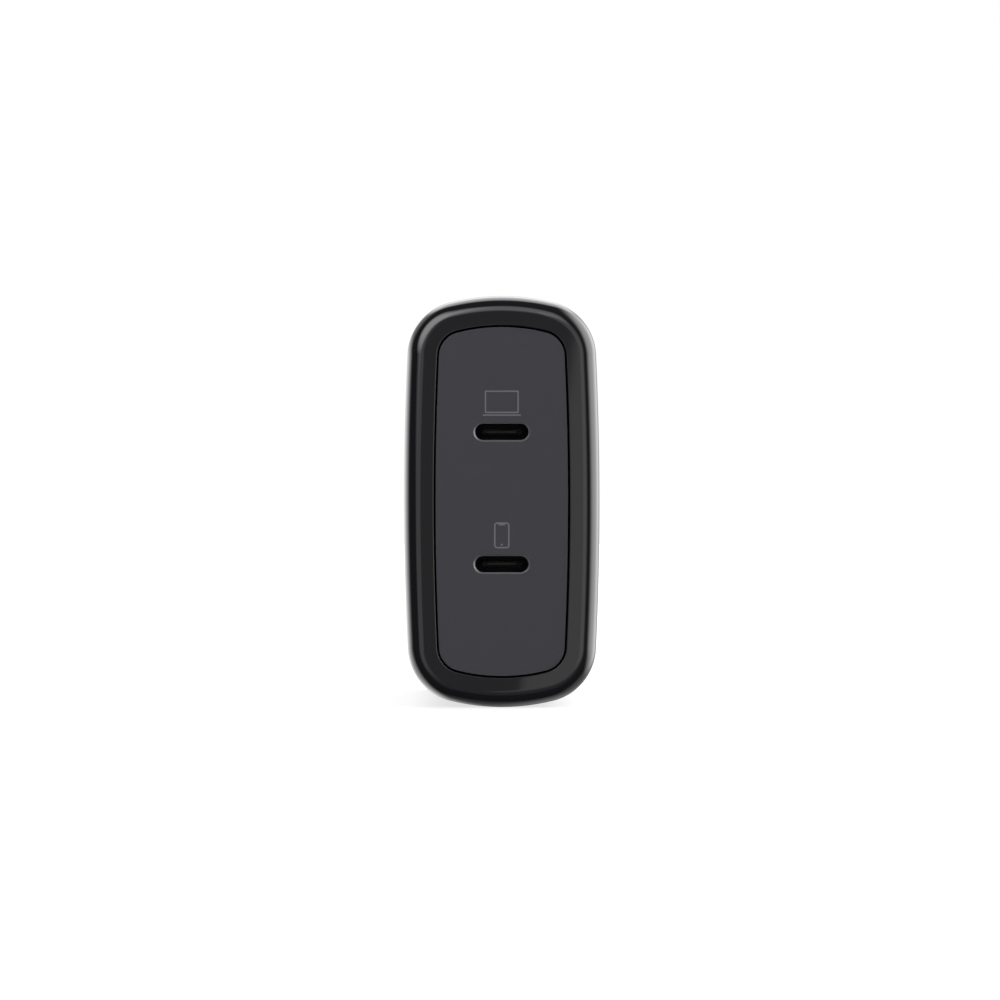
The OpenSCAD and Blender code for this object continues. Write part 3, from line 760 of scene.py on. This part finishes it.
# %% [markdown]
# ### Polished rim, and chamfers with a painted highlight
# The shell's mould is polished where it forms the bezel and the rounded edge, and spark-eroded along the
# sides, with a crisp line between the two. The polished zone is a black mirror whose reflections waver by a
# hair, because the melt shrinks unevenly: a wave a few millimetres long and a fraction of a micrometre high.
# The panel's matt face is broken only by the chamfer round each cutout, where the mill leaves a smoother
# surface than the mould. The chamfer is also painted paler than the panel, as a painted highlight for the
# thin line of light that it catches. The distance from the front and from the middle tells the chamfers from
# the rest.

# %% Polished plastic, and matt plastic with a painted highlight on the chamfers
PEEL = 3 * MM
PEEL_HEIGHT = 0.0005 * MM
SATIN_GRAIN = 0.22 * MM
SATIN_RELIEF = 0.01 * MM
PANEL_GRAIN = 0.16 * MM
PANEL_RELIEF = 0.003 * MM
CHAMFER_GLOSS_AND_HIGHLIGHT_MARGIN = 0.01 * MM
CHAMFER_GLOSS_AND_HIGHLIGHT_REACH = 6 * MM


def polished(name, code):
    """Plastic from a polished mould, with a hair of waviness."""
    made, tree, at = start(name)
    peel = add(tree, "ShaderNodeTexNoise", {"Scale": 1 / PEEL, "Detail": 1.0}, {"Vector": at})
    smear = add(tree, "ShaderNodeTexNoise", {"Scale": 1 / FLOW, "Detail": 5.0}, {"Vector": at})
    tint = add(tree, "ShaderNodeMix", {MIX_A: shade(code, 0.88), MIX_B: shade(code, 1.12)},
               {"Factor": smear.outputs["Fac"]}, data_type="RGBA")
    rough = add(tree, "ShaderNodeMapRange",
                {"From Min": 0.35, "From Max": 0.75, "To Min": 0.012, "To Max": 0.035},
                {"Value": smear.outputs["Fac"]})
    wave = add(tree, "ShaderNodeBump", {"Distance": PEEL_HEIGHT}, {"Height": peel.outputs["Fac"]})
    surface(tree, {"IOR": 1.52}, {
        "Base Color": tint.outputs[MIX_OUT],
        "Roughness": rough.outputs["Result"],
        "Normal": wave.outputs["Normal"],
    })
    return made


def matt_with_painted_highlight_on_chamfer(name, code, chamfer_highlight_code, reach):
    """The panel: a matt face, and a smoother chamfer within reach of the middle, painted paler as a
    highlight.
    """
    made, tree, at = start(name)
    split = add(tree, "ShaderNodeSeparateXYZ", links={"Vector": at})
    aside = add(tree, "ShaderNodeMath", links={0: split.outputs["X"]}, operation="ABSOLUTE").outputs[0]
    near = add(tree, "ShaderNodeMath", {1: reach}, {0: aside}, operation="LESS_THAN").outputs[0]
    behind = add(tree, "ShaderNodeMath", {1: panel_y + CHAMFER_GLOSS_AND_HIGHLIGHT_MARGIN}, {0: split.outputs["Y"]},
                 operation="GREATER_THAN").outputs[0]
    ahead = add(tree, "ShaderNodeMath", {1: panel_y + CHAMFER_DEEP - CHAMFER_GLOSS_AND_HIGHLIGHT_MARGIN},
                {0: split.outputs["Y"]}, operation="LESS_THAN").outputs[0]
    # cut marks the chamfer: it is made smoother there, and it is painted paler as a painted highlight
    cut = add(tree, "ShaderNodeMath", links={0: near, 1: behind}, operation="MULTIPLY").outputs[0]
    cut = add(tree, "ShaderNodeMath", links={0: cut, 1: ahead}, operation="MULTIPLY").outputs[0]
    pebble = add(tree, "ShaderNodeTexNoise", {"Scale": 1 / PANEL_GRAIN, "Detail": 3.0}, {"Vector": at})
    smear = add(tree, "ShaderNodeTexNoise", {"Scale": 1 / FLOW, "Detail": 5.0}, {"Vector": at})
    tint = add(tree, "ShaderNodeMix", {MIX_A: shade(code, 0.96), MIX_B: shade(code, 1.04)},
               {"Factor": smear.outputs["Fac"]}, data_type="RGBA")
    # painted highlight: inside the chamfer mask the colour is replaced by a paler one that stands for the
    # light the chamfer catches
    tint_with_painted_highlight = add(tree, "ShaderNodeMix", {MIX_B: colour(chamfer_highlight_code)},
                     {"Factor": cut, MIX_A: tint.outputs[MIX_OUT]}, data_type="RGBA")
    rough = add(tree, "ShaderNodeMapRange",
                {"From Min": 0.3, "From Max": 0.7, "To Min": 0.55, "To Max": 0.67},
                {"Value": pebble.outputs["Fac"]})
    both_rough = add(tree, "ShaderNodeMix", {3: 0.3}, {"Factor": cut, 2: rough.outputs["Result"]},
                     data_type="FLOAT")
    grain = add(tree, "ShaderNodeBump", {"Distance": PANEL_RELIEF}, {"Height": pebble.outputs["Fac"]})
    surface(tree, {"IOR": 1.52}, {
        "Base Color": tint_with_painted_highlight.outputs[MIX_OUT],
        "Roughness": both_rough.outputs[0],
        "Normal": grain.outputs["Normal"],
    })
    return made


# %% [markdown]
# ## Metals
# The blades are stamped from drawn brass strip and then nickel-plated, the sockets are drawn
# steel, the springs rolled bronze. All of them carry fine lines along the way they were drawn. A
# noise that is stretched forty times along that way gives the lines; it varies the roughness and
# drives a bump of about a micrometre. A second, slower noise is the slight stain that handling
# leaves. A metal keeps the default IOR, because its colour does the work.

# %% Drawn and rolled metals
STRETCH = 40


def drawn(name, code, roughness, spread, pitch, relief, along):
    """Metal with drawing lines: pitch is their spacing and along the axis that they follow."""
    made, tree, at = start(name)
    scale = [1 / pitch] * 3
    scale["XYZ".index(along)] /= STRETCH
    stretched = add(tree, "ShaderNodeMapping", {"Scale": scale}, {"Vector": at})
    lines = add(tree, "ShaderNodeTexNoise", {"Scale": 1.0, "Detail": 4.0},
                {"Vector": stretched.outputs["Vector"]})
    stain = add(tree, "ShaderNodeTexNoise", {"Scale": 1 / (4 * MM), "Detail": 4.0}, {"Vector": at})
    tint = add(tree, "ShaderNodeMix", {MIX_A: shade(code, 0.78), MIX_B: shade(code, 1.1)},
               {"Factor": stain.outputs["Fac"]}, data_type="RGBA")
    rough = add(tree, "ShaderNodeMapRange",
                {"From Min": 0.3, "From Max": 0.7,
                 "To Min": roughness - spread, "To Max": roughness + spread},
                {"Value": lines.outputs["Fac"]})
    bump = add(tree, "ShaderNodeBump", {"Distance": relief}, {"Height": lines.outputs["Fac"]})
    surface(tree, {"Metallic": 1.0}, {
        "Base Color": tint.outputs[MIX_OUT],
        "Roughness": rough.outputs["Result"],
        "Normal": bump.outputs["Normal"],
    })
    return made


# %% [markdown]
# ## Circuit boards
# A board is woven glass in epoxy under a green solder mask, with copper tracks that show through
# as slightly raised, lighter lines. The weave is two sets of bands 0.5 mm apart. The tracks are
# the borders of a cell pattern 4 mm wide: not a circuit that works, but the same density of
# lines as one.

# %% Solder-masked board
BAND_RADIANS = 20
WEAVE = 0.5 * MM
TRACK_CELL = 4 * MM


def bands(pitch):
    """Scale that gives the wave texture one band every pitch metres."""
    return TURN / (BAND_RADIANS * pitch)


def solder_mask(name, code):
    made, tree, at = start(name)
    weft = add(tree, "ShaderNodeTexWave", {"Scale": bands(WEAVE)}, {"Vector": at}, bands_direction="Z")
    warp = add(tree, "ShaderNodeTexWave", {"Scale": bands(WEAVE)}, {"Vector": at}, bands_direction="Y")
    weave = add(tree, "ShaderNodeMath", links={0: weft.outputs["Fac"], 1: warp.outputs["Fac"]},
                operation="ADD")
    cells = add(tree, "ShaderNodeTexVoronoi", {"Scale": 1 / TRACK_CELL}, {"Vector": at},
                feature="DISTANCE_TO_EDGE", distance="EUCLIDEAN")
    track = add(tree, "ShaderNodeMapRange",
                {"From Min": 0.04, "From Max": 0.06, "To Min": 1.0, "To Max": 0.0},
                {"Value": cells.outputs["Distance"]}).outputs["Result"]
    tint = add(tree, "ShaderNodeMix", {MIX_A: colour(code), MIX_B: shade(code, 1.8)}, {"Factor": track},
               data_type="RGBA")
    woven = add(tree, "ShaderNodeBump", {"Distance": 0.002 * MM}, {"Height": weave.outputs["Value"]})
    raised = add(tree, "ShaderNodeBump", {"Distance": 0.035 * MM},
                 {"Height": track, "Normal": woven.outputs["Normal"]})
    surface(tree, {"Roughness": 0.32, "IOR": 1.55},
            {"Base Color": tint.outputs[MIX_OUT], "Normal": raised.outputs["Normal"]})
    return made


# %% [markdown]
# ## Windings, tape and sleeves
# Enamelled wire lies in even turns, so a winding is bands at the wire's own pitch with a bump of half its
# diameter, in copper under a thin clear coat. The darker part of each band is painted shade in the groove
# between turns. Tape and shrink sleeves are glossy films with an edge or a stripe at known places: both are
# the same recipe, plain colour and a paler line that repeats.

# %% Windings and striped films
def wound(name, code, pitch, along):
    made, tree, at = start(name)
    turns = add(tree, "ShaderNodeTexWave", {"Scale": bands(pitch)}, {"Vector": at}, bands_direction=along)
    # painted shade: the groove between turns is coloured down to 35 per cent of the copper
    tint = add(tree, "ShaderNodeMix", {MIX_A: shade(code, 0.35), MIX_B: colour(code)},
               {"Factor": turns.outputs["Fac"]}, data_type="RGBA")
    bump = add(tree, "ShaderNodeBump", {"Distance": pitch / 2}, {"Height": turns.outputs["Fac"]})
    surface(tree, {"Metallic": 0.9, "Roughness": 0.3, "Coat Weight": 0.6, "Coat Roughness": 0.12},
            {"Base Color": tint.outputs[MIX_OUT], "Normal": bump.outputs["Normal"]})
    return made


def striped(name, code, stripe_code, spacing, width, along, roughness, crease, **values):
    """A glossy film with a line of another colour every spacing metres."""
    made, tree, at = start(name)
    split = add(tree, "ShaderNodeSeparateXYZ", links={"Vector": at})
    steps = add(tree, "ShaderNodeMath", {1: spacing}, {0: split.outputs[along]}, operation="PINGPONG")
    line = add(tree, "ShaderNodeMapRange",
               {"From Min": width / 2, "From Max": 0.6 * width, "To Min": 1.0, "To Max": 0.0},
               {"Value": steps.outputs["Value"]})
    tint = add(tree, "ShaderNodeMix", {MIX_A: colour(code), MIX_B: colour(stripe_code)},
               {"Factor": line.outputs["Result"]}, data_type="RGBA")
    crinkle = add(tree, "ShaderNodeTexNoise", {"Scale": 1 / (2 * MM), "Detail": 2.0}, {"Vector": at})
    bump = add(tree, "ShaderNodeBump", {"Distance": crease}, {"Height": crinkle.outputs["Fac"]})
    surface(tree, {"Roughness": roughness, "IOR": 1.57, **values},
            {"Base Color": tint.outputs[MIX_OUT], "Normal": bump.outputs["Normal"]})
    return made


# %% [markdown]
# ## The list of finishes
# Every material slot of the record gets one finish. The visible ones matter most: a matt grey panel, a black
# gloss rim, grey pad-printed icons, dark steel sockets whose colour is darkened further as painted shade for
# the inside of the ports, and bright nickel blades.

# %% Finishes by slot
finishes = {
    "shell_plastic": polished("black_pc_abs_polished_rim", "131316"),
    "cover_plastic": moulded("black_pc_abs_satin", "101013", 0.46, 0.07, SATIN_GRAIN, SATIN_RELIEF,
                             **{"Specular IOR Level": 0.22}),
    # the panel's chamfers are painted 515055, paler than the panel: a painted highlight
    "panel_plastic": matt_with_painted_highlight_on_chamfer("grey_pc_abs_matt", "1f1e28", "515055", CHAMFER_GLOSS_AND_HIGHLIGHT_REACH),
    "printed_ink": moulded("grey_pad_printed_ink", "57565b", 0.55, 0.1, 0.12 * MM, 0.002 * MM, drift=0.08),
    "adhesive_tape": moulded("white_acrylic_foam_tape", "e8e6df", 0.8, 0.1, 0.3 * MM, 0.02 * MM),
    "carrier_plastic": moulded("black_glass_filled_nylon", "17171a", 0.38, 0.1, 0.3 * MM, 0.006 * MM),
    "insulator_plastic": moulded("black_liquid_crystal_polymer", "060609", 0.5, 0.08, 0.2 * MM, 0.004 * MM,
                                 **{"Specular IOR Level": 0.15}),
    "wire_blue": moulded("blue_pvc_insulation", "2f5f9e", 0.4, 0.05, 0.4 * MM, 0.004 * MM),
    "wire_brown": moulded("brown_pvc_insulation", "7a4a2a", 0.4, 0.05, 0.4 * MM, 0.004 * MM),
    "bobbin_plastic": moulded("black_phenolic", "33343a", 0.4, 0.08, 0.3 * MM, 0.006 * MM),
    "seal_rubber": moulded("butyl_rubber", "1a1a1a", 0.7, 0.08, 0.2 * MM, 0.01 * MM, **{"IOR": 1.52}),
    "film_capacitor": moulded("yellow_capacitor_box", "d3b13a", 0.28, 0.06, 0.5 * MM, 0.004 * MM),
    "ceramic_blue": moulded("blue_dipped_epoxy", "2d66a8", 0.2, 0.06, 0.8 * MM, 0.03 * MM),
    "ceramic_green": moulded("green_silicone_coat", "3e6b4a", 0.5, 0.08, 0.4 * MM, 0.02 * MM),
    "fuse_body": moulded("brown_fuse_case", "5b4636", 0.45, 0.06, 0.3 * MM, 0.004 * MM),
    "chip_plastic": moulded("black_moulded_epoxy", "1b1b1d", 0.5, 0.1, 0.15 * MM, 0.006 * MM),
    "thermal_silicone": moulded("grey_gap_pad", "8fa3b5", 0.65, 0.08, 0.25 * MM, 0.01 * MM),
    "ferrite": moulded("sintered_ferrite", "3a3b3e", 0.55, 0.15, 0.12 * MM, 0.008 * MM, drift=0.25),
    "blade_metal": drawn("nickel_plated_brass", "c9c6be", 0.24, 0.07, 0.12 * MM, 0.0012 * MM, "Z"),
    "spring_metal": drawn("phosphor_bronze_strip", "b5763d", 0.3, 0.08, 0.1 * MM, 0.001 * MM, "Z"),
    "steel": drawn("zinc_plated_steel", "8f9296", 0.35, 0.08, 0.15 * MM, 0.001 * MM, "Y"),
    # the sockets' steel and the contacts' gold are far darker than these metals really are: painted shade
    # for the inside of the ports
    "shell_steel": drawn("dark_steel_with_painted_port_shade", "141518", 0.4, 0.08, 0.08 * MM, 0.001 * MM, "Y"),
    "gold_contacts": drawn("gold_contacts_with_painted_port_shade", "6e5a30", 0.35, 0.05, 0.05 * MM, 0.0005 * MM, "Y"),
    "polymer_can": drawn("bare_aluminium_can", "b9bcc2", 0.32, 0.08, 0.12 * MM, 0.001 * MM, "X"),
    "aluminium": drawn("rolled_aluminium_sheet", "aeb1b4", 0.35, 0.1, 0.15 * MM, 0.0015 * MM, "Z"),
    "circuit_board": solder_mask("green_solder_mask", "1f5a38"),
    "copper_winding": wound("enamelled_copper_wire", "b5763d", 0.35 * MM, "Z"),
    "polyester_tape": striped("yellow_polyester_tape", "d9b62f", "c4a127",
                              5 * MM, 0.4 * MM, "Z", 0.25, 0.01 * MM),
    "capacitor_can": striped("dark_shrink_sleeve", "2c2f3a", "8d93a0",
                             13 * MM, 3 * MM, "Z", 0.25, 0.01 * MM),
    "clear_film": striped("clear_polyester_film", "eef1f6", "dfe3ea",
                          15 * MM, 0.5 * MM, "Z", 0.12, 0.02 * MM,
                          **{"Transmission Weight": 0.92}),
}


# %% [markdown]
# ## Dressing the pieces
# The record says which slot each CAD node takes its finish from, and every new piece was told its
# slot when it was made. So one loop dresses the nodes and another the new pieces.

# %% Put the finishes on
for part in frame["record"]["subparts"]:
    node = frame["nodes"][part["node"]]
    if not node.material_slots:
        node.data.materials.append(None)
    for place in node.material_slots:
        place.material = finishes[part["material_slot"]]
for made, slot in new_pieces:
    made.data.materials.append(finishes[slot])
shell.data.materials.append(finishes["cover_plastic"])
print(f"dressed {len(frame['nodes'])} nodes and {len(new_pieces)} new pieces")

# %% [markdown]
# ## Studio
# A gloss black rim shows nothing of its own colour; all that is seen in it is the studio. So the
# studio is drawn as a sky, in which each soft light is a bright patch of a known direction and
# width. Lamps with an area would do the same, but a patch in the sky has the same size from
# every part of the object, and its edge can be as soft as wanted. The lights are: a key, high on
# the left beside the lens; a weaker one above the lens and two faint ones beside it; one
# overhead; a broad softbox on the right; three low ones, left, right and below, that pick out the
# lower edge; a faint round glow about the lens; a white card behind the lens, whose slanted edge
# crosses the bezel; and a white backdrop behind the charger. The rest is nearly dark, which is
# what gives the rim its black band.

# %% Studio lights in the sky
KEY = ((-0.47, -0.74, 0.47), 6, 29, 5.0)
OVER_LENS = ((0.02, -0.875, 0.485), 7, 20, 1.8)
BESIDE_LEFT = ((-0.31, -0.95, 0.0), 8, 17.5, 0.62)
BESIDE_RIGHT = ((0.24, -0.97, 0.0), 3, 13, 0.4)
OVERHEAD = ((0, 0.53, 0.85), 22, 36, 3.4)
RIGHT = ((0.95, 0.12, 0.3), 20, 55, 5.2)
LOW_LEFT = ((-0.75, 0.5, -0.42), 14, 50, 3.2)
LOW_RIGHT = ((0.6, 0.4, -0.7), 18, 46, 0.8)
BELOW = ((-0.1, 0.5, -0.87), 18, 46, 0.4)
ROUND_LENS = ((0, -1, 0), 22, 38, 0.22)
CARD = ((0, -1, 0), 22, 32, 0.63)
CARD_EDGE = (1, 0.0136, -0.155)
CARD_SOFT = 0.0012
CARD_LOWEST = (-0.25, -0.08)
BACKDROP_FROM = (0.0, 0.4)
BACKDROP_LOWEST = (-0.5, -0.1)
AMBIENT = 0.06
LIGHTS = (KEY, OVER_LENS, BESIDE_LEFT, BESIDE_RIGHT, OVERHEAD, RIGHT, LOW_LEFT, LOW_RIGHT, BELOW,
          ROUND_LENS)

world = bpy.data.worlds.new("studio")
world.use_nodes = True
sky = world.node_tree
sky.nodes.clear()
bpy.context.scene.world = world
looking = add(sky, "ShaderNodeTexCoord").outputs["Generated"]


def facing(direction):
    """How far a direction in the sky leans towards a given one."""
    lean = add(sky, "ShaderNodeVectorMath", {1: direction}, {0: looking}, operation="DOT_PRODUCT")
    return lean.outputs["Value"]


def soft_light(direction, inner, outer, strength):
    """A round light: full strength within the inner angle, nothing past the outer one."""
    ends = {
        "From Min": math.cos(math.radians(outer)),
        "From Max": math.cos(math.radians(inner)),
        "To Max": strength,
    }
    aim = Vector(direction).normalized()
    return add(sky, "ShaderNodeMapRange", ends, {"Value": facing(aim)},
               interpolation_type="SMOOTHSTEP").outputs["Result"]


def step(direction, low, high):
    """Nothing on one side of a line across the sky, full strength on the other."""
    return add(sky, "ShaderNodeMapRange", {"From Min": low, "From Max": high}, {"Value": facing(direction)},
               interpolation_type="SMOOTHSTEP").outputs["Result"]


def both(one, other, operation):
    """Two brightnesses, multiplied or added."""
    return add(sky, "ShaderNodeMath", links={0: one, 1: other}, operation=operation).outputs["Value"]


card = both(soft_light(*CARD), step(CARD_EDGE, -CARD_SOFT, CARD_SOFT), "MULTIPLY")
card = both(card, step((0, 0, 1), *CARD_LOWEST), "MULTIPLY")
backdrop = both(step((0, 1, 0), *BACKDROP_FROM), step((0, 0, 1), *BACKDROP_LOWEST), "MULTIPLY")
studio = both(card, backdrop, "ADD")
for light in LIGHTS:
    studio = both(studio, soft_light(*light), "ADD")
studio = add(sky, "ShaderNodeMath", {1: AMBIENT}, {0: studio}, operation="ADD").outputs["Value"]
seen = add(sky, "ShaderNodeLightPath").outputs["Is Camera Ray"]
strength = add(sky, "ShaderNodeMix", {3: 1.0}, {"Factor": seen, 2: studio}, data_type="FLOAT").outputs[0]
background = add(sky, "ShaderNodeBackground", {"Color": (1, 1, 1, 1)}, {"Strength": strength})
add(sky, "ShaderNodeOutputWorld", links={"Surface": background.outputs["Background"]})
print(f"studio: {len(LIGHTS)} soft lights, a card, a backdrop and an ambient level")

# %% [markdown]
# ## Floor
# The charger stands on its lower end, on a plain pale floor. The floor glows a little, as a
# light table does, so that it melts into the white behind it and keeps only a faint shadow. It
# isn't seen in reflections, because the rim's lower edge has to stay dark.

# %% Floor
FLOOR_HALF = 2.2
FLOOR_GLOW = 0.7
floor_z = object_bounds()[0].z

floor_bm = bmesh.new()
bmesh.ops.create_grid(floor_bm, x_segments=1, y_segments=1, size=FLOOR_HALF,
                      matrix=Matrix.Translation((0, 0, floor_z)))
floor_mesh = bpy.data.meshes.new("floor")
floor_bm.to_mesh(floor_mesh)
floor_bm.free()
floor = bpy.data.objects.new("floor", floor_mesh)
bpy.context.scene.collection.objects.link(floor)
floor.visible_glossy = False
floor.visible_diffuse = False

glow, tree, at = start("pale_studio_floor")
patches = add(tree, "ShaderNodeTexNoise", {"Scale": 6.0, "Detail": 2.0}, {"Vector": at})
paper = add(tree, "ShaderNodeMix", {MIX_A: colour("8f8f8f"), MIX_B: colour("949494")},
            {"Factor": patches.outputs["Fac"]}, data_type="RGBA")
surface(tree, {"Roughness": 0.9, "Specular IOR Level": 0.0, "Emission Color": (1, 1, 1, 1),
               "Emission Strength": FLOOR_GLOW}, {"Base Color": paper.outputs[MIX_OUT]})
floor_mesh.materials.append(glow)
print(f"floor at {1000 * floor_z:.2f} mm")

# %% [markdown]
# ## View transform
# The colours are shown as they are, without a film curve, so that the panel's grey is the grey that was
# chosen.

# %% View transform
bpy.context.scene.view_settings.view_transform = "Standard"
